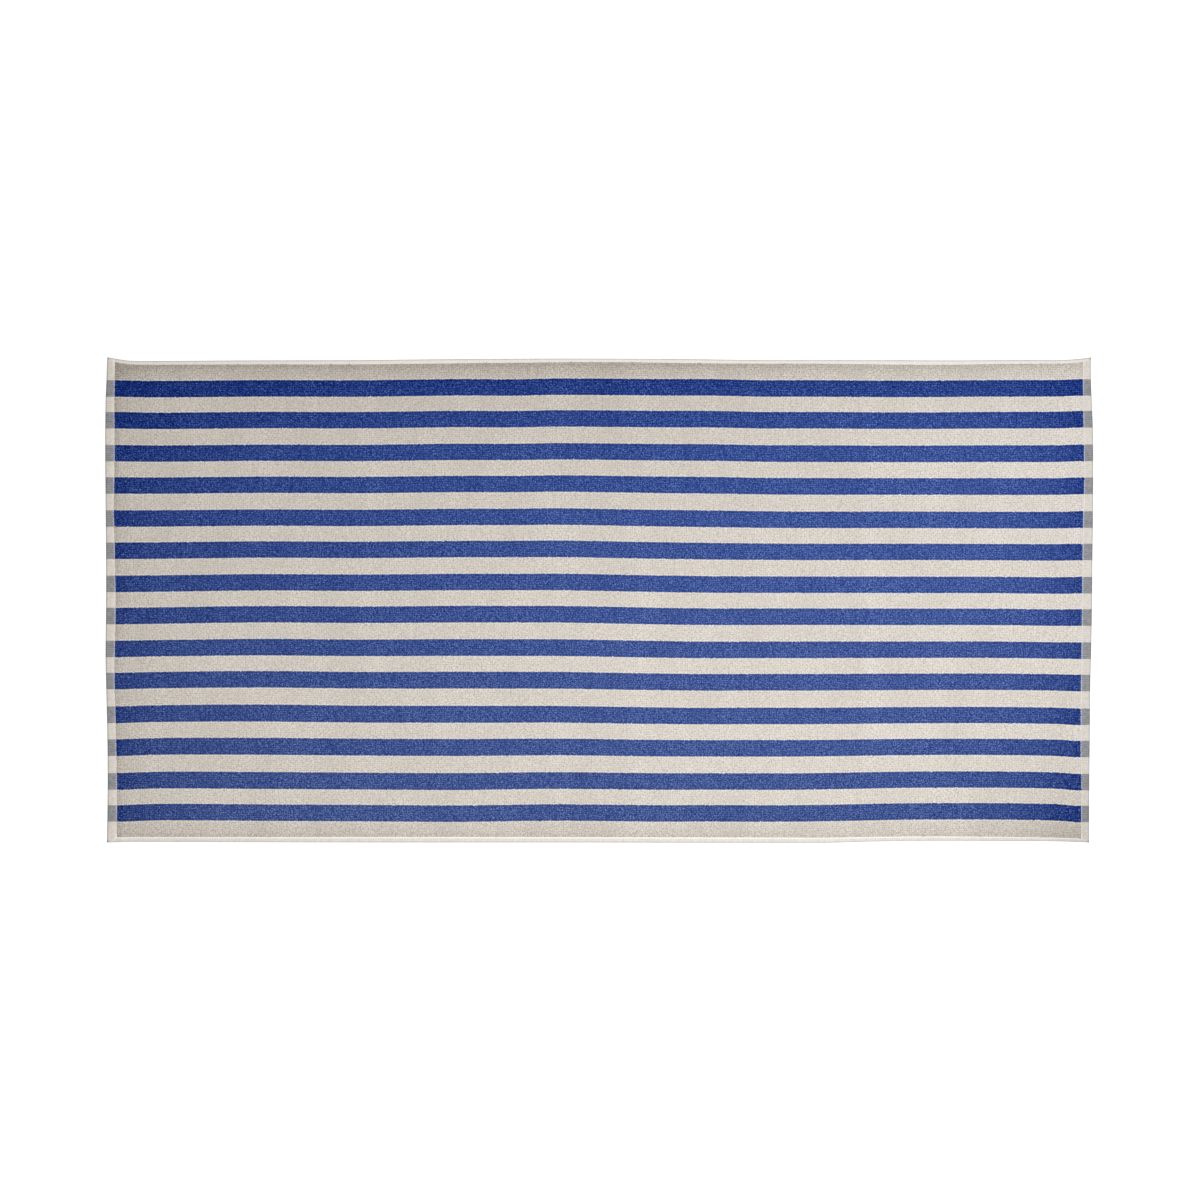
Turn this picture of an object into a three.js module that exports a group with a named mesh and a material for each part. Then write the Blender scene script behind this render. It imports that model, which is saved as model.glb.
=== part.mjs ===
/**
 * Bath towel of striped terry cloth, spread out flat on a surface.
 *
 * A towel is woven in one go, so it is one solid: a field of loop pile, a flat woven hem
 * turned in across each end, and a narrow turned hem along each side. The stripes are
 * only coloured yarn and change nothing in the shape.
 *
 * Millimetres, +Z up. X runs along the towel, Y runs across it, and the origin lies under
 * the middle of the towel, on the surface.
 */
import * as THREE from 'three';
import { mergeVertices } from 'three/addons/utils/BufferGeometryUtils.js';

// Driving dimensions.
const length = 1400;
const width = 688;
const pileThickness = 4.2;
const endHemWidth = 13.5;
const endHemThickness = 2.4;
const sideHemWidth = 6.5;
const sideHemThickness = 2.8;
const foldRadius = 1.2;

// Spacing of the facets across the pile field.
const stepAlong = 28;
const stepAcross = 26;

// The ecru yarn, which covers a little more of the cloth than the blue.
const clothColour = '#d2cbc1';

// How far each end lies inside the length, from the front edge to the back edge.
const endLines = [
  { y: -344, leftIn: 2.4, rightIn: 5.9 },
  { y: -255, leftIn: 3.6, rightIn: 5.5 },
  { y: -184, leftIn: 2.9, rightIn: 4.8 },
  { y: -113, leftIn: 1.2, rightIn: 4.1 },
  { y: -78, leftIn: 0.5, rightIn: 3.1 },
  { y: -7, leftIn: 1.3, rightIn: 1.7 },
  { y: 64, leftIn: 1.2, rightIn: 1.0 },
  { y: 135, leftIn: 0.6, rightIn: 0.2 },
  { y: 206, leftIn: 0.0, rightIn: 0.0 },
  { y: 241, leftIn: 0.1, rightIn: 0.4 },
  { y: 276, leftIn: 0.4, rightIn: 1.8 },
  { y: 312, leftIn: 1.8, rightIn: 3.3 },
  { y: 344, leftIn: 3.1, rightIn: 3.1 },
];

// How far each side lies inside the width, from the left end to the right end. The pile
// field draws the cloth in, and the end hems hold the corners out in small points.
const sideLines = [
  { x: -700, frontIn: 0.6, backIn: 0.0 },
  { x: -689, frontIn: 0.8, backIn: 1.2 },
  { x: -680, frontIn: 1.2, backIn: 2.9 },
  { x: -664, frontIn: 1.4, backIn: 4.9 },
  { x: -620, frontIn: 1.3, backIn: 5.1 },
  { x: -500, frontIn: 0.9, backIn: 4.4 },
  { x: -350, frontIn: 0.6, backIn: 4.0 },
  { x: -200, frontIn: 0.5, backIn: 2.5 },
  { x: -50, frontIn: 0.5, backIn: 1.8 },
  { x: 100, frontIn: 0.2, backIn: 2.3 },
  { x: 230, frontIn: 0.0, backIn: 3.8 },
  { x: 320, frontIn: 0.1, backIn: 3.9 },
  { x: 400, frontIn: 2.0, backIn: 3.9 },
  { x: 490, frontIn: 2.9, backIn: 4.4 },
  { x: 600, frontIn: 2.5, backIn: 3.8 },
  { x: 664, frontIn: 1.9, backIn: 3.5 },
  { x: 682, frontIn: 1.2, backIn: 2.1 },
  { x: 700, frontIn: 0.4, backIn: 0.0 },
];

// Soft rises and dips that lie across the whole width, where the towel was once folded in
// four, and the broad swells between them.
const foldMarks = [
  { x: -375, rise: -0.35, spread: 26 },
  { x: 10, rise: 0.45, spread: 30 },
  { x: 360, rise: -0.4, spread: 24 },
];
const swells = [
  { along: 520, across: 610, shift: 0.6, rise: 0.22 },
  { along: 290, across: 330, shift: 2.1, rise: 0.16 },
];

// Height of the top face over each hem and up on to the pile, going in from the edge.
function edgeProfile(hemWidth, hemThickness) {
  return [
    { inFrom: 0, height: hemThickness / 2 },
    { inFrom: foldRadius * 0.3, height: hemThickness * 0.86 },
    { inFrom: foldRadius, height: hemThickness },
    { inFrom: hemWidth - 1.2, height: hemThickness },
    { inFrom: hemWidth, height: hemThickness * 0.82 },
    { inFrom: hemWidth + 1.0, height: pileThickness * 0.88 },
    { inFrom: hemWidth + 3.5, height: pileThickness },
  ];
}

const endProfile = edgeProfile(endHemWidth, endHemThickness);
const sideProfile = edgeProfile(sideHemWidth, sideHemThickness);

// Smooth curves through the rows of a table, one for each column but the first.
function curvesThrough(rows) {
  const [position, ...columns] = Object.keys(rows[0]);
  const positions = rows.map((row) => row[position]);
  return Object.fromEntries(columns.map((column) => {
    const values = rows.map((row) => row[column]);
    const curve = new THREE.CubicInterpolant(positions, values, 1);
    return [column, (at) => curve.evaluate(at)[0]];
  }));
}

const ends = curvesThrough(endLines);
const sides = curvesThrough(sideLines);

// Straight lines between the rows of a profile.
function heightOver(profile, inFrom) {
  const next = profile.findIndex((row) => row.inFrom > inFrom);
  if (next === -1) {
    return pileThickness;
  }
  const low = profile[next - 1];
  const high = profile[next];
  const part = (inFrom - low.inFrom) / (high.inFrom - low.inFrom);
  return THREE.MathUtils.lerp(low.height, high.height, part);
}

// Lines of the grid from one edge to the other: close together over the hems, where the
// profile bends, and evenly spaced across the pile.
function gridLines(size, profile, step) {
  const half = size / 2;
  const hem = profile.map((row) => half - row.inFrom);
  const field = half - profile.at(-1).inFrom;
  const count = Math.round((2 * field) / step);
  const inner = Array.from({ length: count - 1 }, (_, i) => field - ((i + 1) * 2 * field) / count);
  return [...hem, ...inner, ...hem.toReversed().map((line) => -line)].toReversed();
}

// The rectangle that the towel fills, drawn in to its real outline.
function drawnIn(x, y) {
  const right = x / length + 0.5;
  const back = y / width + 0.5;
  return {
    x: x + THREE.MathUtils.lerp(ends.leftIn(y), -ends.rightIn(y), right),
    y: y + THREE.MathUtils.lerp(sides.frontIn(x), -sides.backIn(x), back),
  };
}

// How far the pile stands above or below its mean height, fading out at the hems.
function unevenness(x, y, inFromEnd, inFromSide) {
  const fade = THREE.MathUtils.smoothstep(Math.min(inFromEnd, inFromSide), endHemWidth, 70);
  const marks = foldMarks.map((mark) => mark.rise * Math.exp(-(((x - mark.x) / mark.spread) ** 2)));
  const waves = swells.map((wave) => (
    wave.rise * Math.sin((2 * Math.PI * x) / wave.along + wave.shift)
      * Math.cos((2 * Math.PI * y) / wave.across)
  ));
  return fade * [...marks, ...waves].reduce((sum, rise) => sum + rise, 0);
}

function topHeight(x, y) {
  const inFromEnd = length / 2 - Math.abs(x);
  const inFromSide = width / 2 - Math.abs(y);
  const hemmed = Math.min(heightOver(endProfile, inFromEnd), heightOver(sideProfile, inFromSide));
  return hemmed + unevenness(x, y, inFromEnd, inFromSide);
}

// The cloth: a grid of points over the top face, and a flat underside whose rim is drawn
// in by the round of the folded hems.
function makeTowel() {
  const linesX = gridLines(length, endProfile, stepAlong);
  const linesY = gridLines(width, sideProfile, stepAcross);
  const points = [];
  const faces = [];
  const addPoint = (x, y, z) => points.push(x, y, z) / 3 - 1;

  const top = linesX.map((x) => linesY.map((y) => {
    const at = drawnIn(x, y);
    return addPoint(at.x, at.y, topHeight(x, y));
  }));
  for (let i = 0; i + 1 < linesX.length; i += 1) {
    for (let j = 0; j + 1 < linesY.length; j += 1) {
      const [a, b, c, d] = [top[i][j], top[i + 1][j], top[i + 1][j + 1], top[i][j + 1]];
      faces.push(a, b, c, a, c, d);
    }
  }

  // The rim, anticlockwise from above: front, right end, back, left end.
  const lastX = linesX.length - 1;
  const lastY = linesY.length - 1;
  const rim = [
    ...linesX.map((x, i) => ({ x, y: linesY[0], top: top[i][0] })).slice(0, -1),
    ...linesY.map((y, j) => ({ x: linesX[lastX], y, top: top[lastX][j] })).slice(0, -1),
    ...linesX.map((x, i) => ({ x, y: linesY[lastY], top: top[i][lastY] })).slice(1).toReversed(),
    ...linesY.map((y, j) => ({ x: linesX[0], y, top: top[0][j] })).slice(1).toReversed(),
  ];
  const shrinkX = 1 - (2 * foldRadius * 0.5) / length;
  const shrinkY = 1 - (2 * foldRadius * 0.5) / width;
  const foot = rim.map((spot) => {
    const at = drawnIn(spot.x, spot.y);
    return addPoint(at.x * shrinkX, at.y * shrinkY, 0);
  });
  rim.forEach((spot, k) => {
    const after = (k + 1) % rim.length;
    faces.push(foot[k], foot[after], rim[after].top, foot[k], rim[after].top, spot.top);
  });

  const outline = foot.map((index) => new THREE.Vector2(points[3 * index], points[3 * index + 1]));
  THREE.ShapeUtils.triangulateShape(outline, []).forEach(([a, b, c]) => {
    faces.push(foot[a], foot[c], foot[b]);
  });

  const geometry = new THREE.BufferGeometry();
  geometry.setAttribute('position', new THREE.Float32BufferAttribute(points, 3));
  geometry.setIndex(faces);
  return mergeVertices(geometry);
}

const terryCloth = new THREE.MeshStandardMaterial({
  color: clothColour,
  roughness: 0.95,
  metalness: 0,
});

const towel = new THREE.Mesh(makeTowel(), terryCloth);
towel.name = 'towel';

const part = new THREE.Group();
part.add(towel);

export default part;
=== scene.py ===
# %% [markdown]
# # A striped bath towel, spread out flat
#
# A bath towel is terry cloth: a thin plain-woven ground with loops of yarn standing out of
# it on both sides. The ground shows only where the loops stop, in the hems. This lesson
# makes the towel in that order: the cloth with its hems, the stitches that hold the hems,
# and then the loops, stripe by stripe, in blue and in ecru yarn. After that come the
# finishes, the light and the camera.
#
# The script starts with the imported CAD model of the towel. It gives the size and stays the
# body that collides. What is made here is what shows.

import bpy
import numpy as np
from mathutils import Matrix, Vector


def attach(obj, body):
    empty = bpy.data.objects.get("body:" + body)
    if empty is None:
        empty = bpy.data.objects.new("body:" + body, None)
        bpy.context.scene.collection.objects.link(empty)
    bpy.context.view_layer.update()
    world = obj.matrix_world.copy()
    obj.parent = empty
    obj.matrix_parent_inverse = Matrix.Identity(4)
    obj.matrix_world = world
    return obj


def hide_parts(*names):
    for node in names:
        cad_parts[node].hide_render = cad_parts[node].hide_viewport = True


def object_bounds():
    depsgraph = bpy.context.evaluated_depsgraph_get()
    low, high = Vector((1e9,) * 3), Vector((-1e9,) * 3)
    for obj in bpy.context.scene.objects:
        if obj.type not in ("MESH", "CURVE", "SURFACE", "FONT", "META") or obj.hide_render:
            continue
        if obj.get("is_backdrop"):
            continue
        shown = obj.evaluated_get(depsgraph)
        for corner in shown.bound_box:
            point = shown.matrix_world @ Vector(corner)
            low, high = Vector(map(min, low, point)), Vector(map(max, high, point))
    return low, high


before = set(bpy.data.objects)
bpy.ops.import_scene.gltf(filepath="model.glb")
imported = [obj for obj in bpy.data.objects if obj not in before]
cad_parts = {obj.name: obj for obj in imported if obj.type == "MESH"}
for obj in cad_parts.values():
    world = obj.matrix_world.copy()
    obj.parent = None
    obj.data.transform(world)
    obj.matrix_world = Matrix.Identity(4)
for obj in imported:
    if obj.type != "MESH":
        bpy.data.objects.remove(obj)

cad_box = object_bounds()
size = np.array(cad_box[1] - cad_box[0]) * 1000
print("The CAD towel is %.0f x %.0f x %.1f mm" % tuple(size))

# %% [markdown]
# ## The real sizes
#
# Everything is worked out in millimetres, because that is how a towel is specified, and
# turned into metres only when it goes into a mesh. X runs along the towel and Y across it,
# and the towel lies on the plane z = 0.

# %% Sizes of the towel, in millimetres
METRES = 0.001
length, width = 1400.0, 688.0
half_length, half_width = length / 2, width / 2
end_hem = 13.5  # flat woven hem across each end
side_hem = 10.0  # strip along each side that the narrow hem is drawn from
field_half_length = half_length - end_hem
field_half_width = half_width - side_hem
ground_height = 2.6  # top of the woven ground, with the lower loops under it
loop_height = 1.6  # how far the upper loops stand out of the ground
print("Pile field: %.0f x %.0f mm" % (2 * field_half_length, 2 * field_half_width))

# %% [markdown]
# ## The stripes
#
# The stripes run along the towel, with the warp yarns. There are 14 blue ones, and between
# and outside them 15 of ecru. Their pitch is the same all the way across, so two numbers
# describe them nearly. Washing has moved each one a little more, but by less than 1 mm.

# %% Where each stripe lies across the towel
stripe_pitch, blue_width = 46.25, 23.3
blue_count = 14
washed_over = [0.3, -0.8, 0.0, -0.5, 0.8, 0.1, 0.5, -0.3, 0.2, -0.5, 0.3, -0.1, 0.5, -0.8]
blue_middles = (np.arange(blue_count) - (blue_count - 1) / 2) * stripe_pitch + washed_over
blue_stripes = np.stack([blue_middles - blue_width / 2, blue_middles + blue_width / 2], 1)
ecru_edges = np.concatenate([[-field_half_width], blue_stripes.ravel(), [field_half_width]])
ecru_stripes = ecru_edges.reshape(-1, 2)
print(len(blue_stripes), "blue stripes and", len(ecru_stripes), "ecru ones")

# %% [markdown]
# ## The lie of the cloth
#
# A washed towel is never a true rectangle. Its ends bow, the dense pile draws the sides in,
# the hems hold the corners out in small points, and the stripes wander by a millimetre or
# two. One way to get that is a cloth simulation, but a sheet that already lies flat has
# nothing left to fall. Here the lie is written down instead: short tables of how far each
# line is off its true place, with smooth curves through their rows.

# %% A smooth curve through the rows of a table
def smooth_curve(stations, values, at):
    """Cubic pieces from station to station. The slope at a station is that of the straight
    line between its two neighbours, and at the ends the curve goes on without bending."""
    stations, values = np.asarray(stations, float), np.asarray(values, float)
    chord = np.diff(values) / np.diff(stations)
    slope = np.empty_like(values)
    slope[1:-1] = (values[2:] - values[:-2]) / (stations[2:] - stations[:-2])
    slope[0] = 1.5 * chord[0] - 0.5 * slope[1]
    slope[-1] = 1.5 * chord[-1] - 0.5 * slope[-2]
    at = np.clip(at, stations[0], stations[-1])
    k = np.clip(np.searchsorted(stations, at) - 1, 0, len(stations) - 2)
    step = stations[k + 1] - stations[k]
    t = (at - stations[k]) / step
    rise = values[k + 1] - values[k]
    return (
        values[k]
        + rise * t * t * (3 - 2 * t)
        + step * t * (1 - t) * (slope[k] * (1 - t) - slope[k + 1] * t)
    )


def column(table, name, at):
    """The smooth curve through one named column of a table, over its first column."""
    names, rows = table[0], np.array(table[1:], float)
    return smooth_curve(rows[:, 0], rows[:, names.index(name)], at)


# %% How far each outer edge lies inside the full size
end_lines = [
    ("across", "left_in", "right_in"),
    (-344, 2.4, 5.9), (-255, 3.6, 5.5), (-184, 2.9, 4.8), (-113, 1.2, 4.1), (-78, 0.5, 3.1),
    (-7, 1.3, 1.7), (64, 1.2, 1.0), (135, 0.6, 0.2), (206, 0.0, 0.0), (241, 0.1, 0.4),
    (276, 0.4, 1.8), (312, 1.8, 3.3), (344, 3.1, 3.1),
]
side_lines = [
    ("along", "front_in", "back_in"),
    (-700, 0.6, 0.0), (-689, 0.8, 1.2), (-680, 1.2, 2.9), (-664, 1.4, 4.9), (-620, 1.3, 5.1),
    (-500, 0.9, 4.4), (-350, 0.6, 4.0), (-200, 0.5, 2.5), (-50, 0.5, 1.8), (100, 0.2, 2.3),
    (230, 0.0, 3.8), (320, 0.1, 3.9), (400, 2.0, 3.9), (490, 2.9, 4.4), (600, 2.5, 3.8),
    (664, 1.9, 3.5), (682, 1.2, 2.1), (700, 0.4, 0.0),
]
edge = column(end_lines, "left_in", np.linspace(-half_width, half_width, 9))
print("Left end lies in by", edge.round(1), "mm")

# %% How wide the side hems are drawn, and how far the stripes wander
hem_bands = [
    ("along", "front", "back"),
    (-700, 7.4, 5.5), (-424, 8.2, 6.2), (-280, 8.6, 6.5), (-140, 8.5, 6.2), (0, 8.3, 5.3),
    (140, 8.3, 6.0), (280, 8.1, 5.4), (426, 7.1, 6.7), (560, 6.6, 6.0), (640, 5.9, 5.7),
    (700, 5.4, 5.3),
]
end_bands = [  # the pile stops a yarn or two sooner or later from stripe to stripe
    ("across", "left", "right"),
    (-344, 14.4, 11.6), (-301, 14.2, 12.0), (-254, 13.7, 12.1), (-208, 13.1, 13.8),
    (-116, 12.7, 14.0), (-69, 13.8, 14.5), (0, 14.1, 15.1), (69, 13.1, 14.9),
    (116, 12.2, 14.8), (162, 13.0, 13.6), (208, 14.0, 13.8), (254, 13.7, 13.9),
    (301, 12.7, 12.2), (344, 11.2, 11.6),
]
stripe_wander = [
    ("along", "front", "near", "middle", "far", "back"),
    (-680, -1.9, 0.2, 0.1, 0.5, 0.0),
    (-620, 0.1, 1.9, 0.8, 0.7, -0.9),
    (-480, -0.7, 2.8, 2.7, 1.9, 0.2),
    (-340, -1.4, 1.2, 2.0, 1.4, 0.0),
    (-200, -2.2, 1.0, 2.9, 2.8, 1.7),
    (-120, -1.1, 0.9, 2.8, 2.8, 1.4),
    (-56, -0.5, 0.8, 2.7, 3.4, 2.6),
    (86, -1.8, -1.3, 0.1, 1.0, 1.7),
    (160, -1.7, -1.9, -0.9, 0.1, 1.6),
    (230, -1.9, -1.6, -0.8, -0.9, 0.1),
    (300, -1.6, -1.8, -0.7, -1.5, 0.1),
    (440, 0.9, -0.8, -1.0, -1.3, -0.6),
    (560, 1.1, -0.6, -1.1, -1.8, 0.2),
    (650, -0.3, -1.6, -2.2, -1.8, 0.4),
    (678, -2.7, -2.8, -2.0, -1.0, 1.5),
]
wander_lines = {"front": -267, "near": -150, "middle": -22, "far": 116, "back": 255}
print("Stripes wander at", list(wander_lines.values()), "mm across")

# %% [markdown]
# Every later piece asks one function where it lies. It takes a place on the ideal
# rectangle, with straight stripes and even hems, and gives the place on the real cloth. The
# cloth, the stitches and the loops then fit each other without any fitting.

# %% From the ideal rectangle to the cloth as it lies
def between(stations, lines, at):
    """Straight lines between the curves in the rows of lines, one for each station."""
    stations = np.asarray(stations, float)
    k = np.clip(np.searchsorted(stations, at) - 1, 0, len(stations) - 2)
    part = (at - stations[k]) / (stations[k + 1] - stations[k])
    low = np.take_along_axis(lines, k[None], 0)[0]
    high = np.take_along_axis(lines, k[None] + 1, 0)[0]
    return low + (high - low) * part


def lie(along, across):
    """Where a spot of the ideal rectangle lies. Across, it keeps its share of the way
    between the nearest known lines: the outer edges, the inner edges of the side hems and
    the wandering stripes. Along, the hems keep their width and the field takes the rest."""
    along, across = (np.array(a, float).ravel() for a in np.broadcast_arrays(along, across))
    front = -half_width + column(side_lines, "front_in", along)
    back = half_width - column(side_lines, "back_in", along)
    first = -((blue_count - 1) * stripe_pitch + blue_width) / 2
    wander = {name: column(stripe_wander, name, along) for name in wander_lines}
    lines = [front, front + column(hem_bands, "front", along), first + wander["front"]]
    lines += [where + wander[name] for name, where in wander_lines.items()]
    lines += [-first + wander["back"], back - column(hem_bands, "back", along), back]
    stations = [-half_width, -field_half_width, first, *wander_lines.values()]
    stations += [-first, field_half_width, half_width]
    y = between(stations, np.array(lines), across)

    left = -half_length + column(end_lines, "left_in", across)
    right = half_length - column(end_lines, "right_in", across)
    left_hem, right_hem = (column(end_bands, name, across) for name in ("left", "right"))
    lines = np.array([left, left + left_hem, right - right_hem, right])
    stations = [-half_length, -field_half_length, field_half_length, half_length]
    return between(stations, lines, along), y


x, y = lie([-half_length, half_length], [0, 0])
print("Along its middle the towel is %.1f mm long" % (x[1] - x[0]))

# %% [markdown]
# The cloth isn't quite level either. It was once folded in four, which leaves a soft mark at
# each fold, and between the marks it swells a little. All of it fades out at the hems,
# which the stitching holds flat.

# %% How far the cloth stands above or below its mean height
fold_marks = [(-375, -0.35, 26), (10, 0.45, 30), (360, -0.4, 24)]  # along, rise, spread
swells = [(520, 610, 0.6, 0.22), (290, 330, 2.1, 0.16)]  # along, across, shift, rise
free_from = 70.0  # this far in from the edges the hems no longer hold the cloth flat


def unevenness(along, across):
    """Bell-shaped ridges and dips across the towel, plus waves that cross each other, all
    times a share that grows from none at the hems to the whole of it at free_from."""
    inside = np.minimum(half_length - abs(along), half_width - abs(across))
    t = np.clip((inside - end_hem) / (free_from - end_hem), 0, 1)
    marks = sum(rise * np.exp(-(((along - at) / spread) ** 2)) for at, rise, spread in fold_marks)
    waves = sum(
        rise * np.sin(2 * np.pi * along / long + shift) * np.cos(2 * np.pi * across / wide)
        for long, wide, shift, rise in swells
    )
    return t * t * (3 - 2 * t) * (marks + waves)


print("The middle fold stands %.2f mm proud" % unevenness(10.0, 0.0))

# %% [markdown]
# ## Into Blender
#
# A mesh is a list of points and a list of faces that count into it. Both go in as whole
# arrays with foreach_set, which is hundreds of times quicker than adding them one by one.
# The object stays at the origin, unturned and unscaled, so a pattern on Object coordinates
# is a pattern in real metres.

# %% One object from arrays of points and faces
def new_object(name, data):
    """An object for a mesh, a lamp or the camera, put into the scene."""
    made = bpy.data.objects.new(name, data)
    bpy.context.scene.collection.objects.link(made)
    return made


def put_mesh(name, points, faces, numbers=None, materials=(), finish=None):
    """Points in millimetres, and faces that all have as many corners. numbers are named
    values, one for each point, which the materials can read. finish says which of the
    materials each face wears."""
    mesh = bpy.data.meshes.new(name)
    mesh.vertices.add(len(points))
    mesh.vertices.foreach_set("co", (points * METRES).astype(np.float32).ravel())
    mesh.loops.add(faces.size)
    mesh.loops.foreach_set("vertex_index", faces.astype(np.int32).ravel())
    mesh.polygons.add(len(faces))
    starts = np.arange(len(faces), dtype=np.int32) * faces.shape[1]
    mesh.polygons.foreach_set("loop_start", starts)
    for material in materials:
        mesh.materials.append(material)
    if finish is not None:
        mesh.polygons.foreach_set("material_index", finish.astype(np.int32))
    for label, values in (numbers or {}).items():
        attribute = mesh.attributes.new(label, "FLOAT", "POINT")
        attribute.data.foreach_set("value", np.asarray(values, np.float32).ravel())
    mesh.update(calc_edges=True)
    mesh.shade_smooth()
    piece = new_object(name, mesh)
    print(name, len(points), "points,", len(faces) * (faces.shape[1] - 2), "triangles")
    return piece


# %% [markdown]
# ## Colours and nodes
#
# Colours are written as sRGB hex values, as a dyer's chart gives them. Blender calculates in
# linear light, so one function turns them. A second one adds a shader node: it makes the
# node, sets its options, and sets or links its sockets. A few short ones build on it, for the
# steps that every finish needs, so that a finish reads from top to bottom as a recipe.

# %% Hex colour to linear, and one function to add a node
def linear(hex_colour):
    """sRGB hex to linear light: the low end divides by 12.92, the rest is a 2.4 power."""
    s = np.array([int(hex_colour[i : i + 2], 16) for i in (1, 3, 5)]) / 255
    return (*np.where(s <= 0.04045, s / 12.92, ((s + 0.055) / 1.055) ** 2.4), 1.0)


def add(tree, kind, sockets=None, **options):
    """Adds a node. A socket is named or numbered, and takes a value or another's output."""
    node = tree.nodes.new("ShaderNode" + kind)
    for option, value in options.items():
        setattr(node, option, value)
    for socket, value in (sockets or {}).items():
        if isinstance(value, bpy.types.NodeSocket):
            tree.links.new(value, node.inputs[socket])
        else:
            node.inputs[socket].default_value = value
    return node


def new_material(name):
    """A material and its node tree, cleared of the nodes that Blender puts in."""
    material = bpy.data.materials.new(name)
    material.use_nodes = True
    material.node_tree.nodes.clear()
    return material, material.node_tree


print("Ecru in linear light:", np.round(linear("#d2cbc1")[:3], 3))

# %% Short names for the steps that come again and again
NOISE = (0.3, 0.7)  # nearly all of a noise texture lies between these
ONE_BAND = 0.314  # metres, the width of a band of the Wave texture at a Scale of 1
BLACK, WHITE = (0, 0, 0, 1), (1, 1, 1, 1)


def number(tree, name):
    """A number that the mesh itself carries, under its name."""
    return add(tree, "Attribute", attribute_name=name).outputs["Fac"]


def calculate(tree, operation, *values):
    """One step of arithmetic on two or three values."""
    return add(tree, "Math", dict(enumerate(values)), operation=operation).outputs[0]


def remap(tree, value, old, new):
    """The value, moved from the old range to the new one and kept within it."""
    sockets = {0: value, 1: old[0], 2: old[1], 3: new[0], 4: new[1]}
    return add(tree, "MapRange", sockets).outputs[0]


def mix(tree, share, first, second, blend="MIX"):
    """The first colour where the share is 0, and the second where it is 1."""
    sockets = {0: share, 6: first, 7: second}
    return add(tree, "Mix", sockets, data_type="RGBA", blend_type=blend).outputs[2]


def matt_fibres(tree, colour, bump, roughness, gloss, sheen):
    """Yarn has no metal and no clear coat: one rough layer, and its loose fibres as sheen."""
    shader = add(tree, "BsdfPrincipled", {
        "Base Color": colour, "Roughness": roughness, "IOR": 1.5,
        "Specular IOR Level": gloss, "Sheen Weight": sheen, "Sheen Roughness": 0.5,
        "Normal": bump.outputs["Normal"],
    })
    add(tree, "OutputMaterial", {"Surface": shader.outputs[0]})


print("A Wave texture with bands 3 mm wide has a Scale of %.0f" % (ONE_BAND / 0.003))

# %% [markdown]
# ## The finish of the pile: reactive-dyed cotton terry, washed
#
# Terry loops are soft single yarn. Their tops catch the light and the gaps between them
# are dark, so most of what the eye reads as the colour is a mixture of the two. Each loop
# carries a number called tone, lower at its foot than on its top and a little different from
# loop to loop, so the shade at its foot and the light on its top are painted into the colour.
# A ramp turns that number into lit and shaded copies of the yarn: from a painted shade between
# the loops, past a loop in full light, to the pale ends of loose fibres with painted sheen.
# Towards the front the blue's ramp is mixed with a greyer one, which is painted sheen too.
# Cotton is rough and has no gloss, but the loose fibres light up at a low angle, which is what
# the shader's sheen is for.

# %% Terry finishes
# Each yarn: painted shade between loops, a lit loop top, and pale fibre ends with painted sheen.
blue_yarn = {
    "painted_shade": "#03236d", "lit": "#455fa4", "pale_ends_and_sheen": "#718cc9", "grain": 0.95,
    "painted_front_sheen": {"painted_shade": "#052366", "lit": "#4b609a", "pale_ends_and_sheen": "#7a8cbd"},
}
ecru_yarn = {"painted_shade": "#9c9286", "lit": "#e2dbd2", "pale_ends_and_sheen": "#fdfafb", "grain": 0.17}
front_sheen_across = (0.3, -0.3)  # metres across, where the blue's painted sheen begins and where it is greatest
yarn_width, loop_cell = 0.0016, 0.0025  # metres


def yarn_ramp(tree, tone, yarn):
    """Lit and shaded copies of the yarn, straight lines in linear light: its painted shade at
    tone 0, a lit loop top at 1, and loose fibre ends with painted sheen at 2.
    """
    ramp = add(tree, "ValToRGB", {"Fac": tone})
    ramp.color_ramp.elements[0].color = linear(yarn["painted_shade"])
    ramp.color_ramp.elements[1].color = linear(yarn["pale_ends_and_sheen"])
    ramp.color_ramp.elements.new(0.5).color = linear(yarn["lit"])
    return ramp.outputs["Color"]


def twisted_yarn(tree, place, tone, yarn):
    """The yarn's colour and the height of its twist. A noise the size of a yarn moves the
    tone by up to the grain, and the blue is greyer towards the front, as painted sheen."""
    twist = add(tree, "TexNoise", {
        "Vector": place, "Scale": 1 / yarn_width, "Detail": 3, "Roughness": 0.65,
    }).outputs["Fac"]
    # Halved, because a ramp runs from 0 to 1 and the tone from 0 to 2.
    grain = remap(tree, twist, NOISE, ((1 - yarn["grain"]) / 2, (1 + yarn["grain"]) / 2))
    tone = calculate(tree, "MULTIPLY", tone, grain)
    colour = yarn_ramp(tree, tone, yarn)
    # Painted sheen: towards the front, the blue's ramp is mixed with a greyer one.
    if "painted_front_sheen" in yarn:
        across = add(tree, "SeparateXYZ", {0: place}).outputs["Y"]
        share = remap(tree, across, front_sheen_across, (0.0, 1.0))
        colour = mix(tree, share, colour, yarn_ramp(tree, tone, yarn["painted_front_sheen"]))
    return colour, twist


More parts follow.
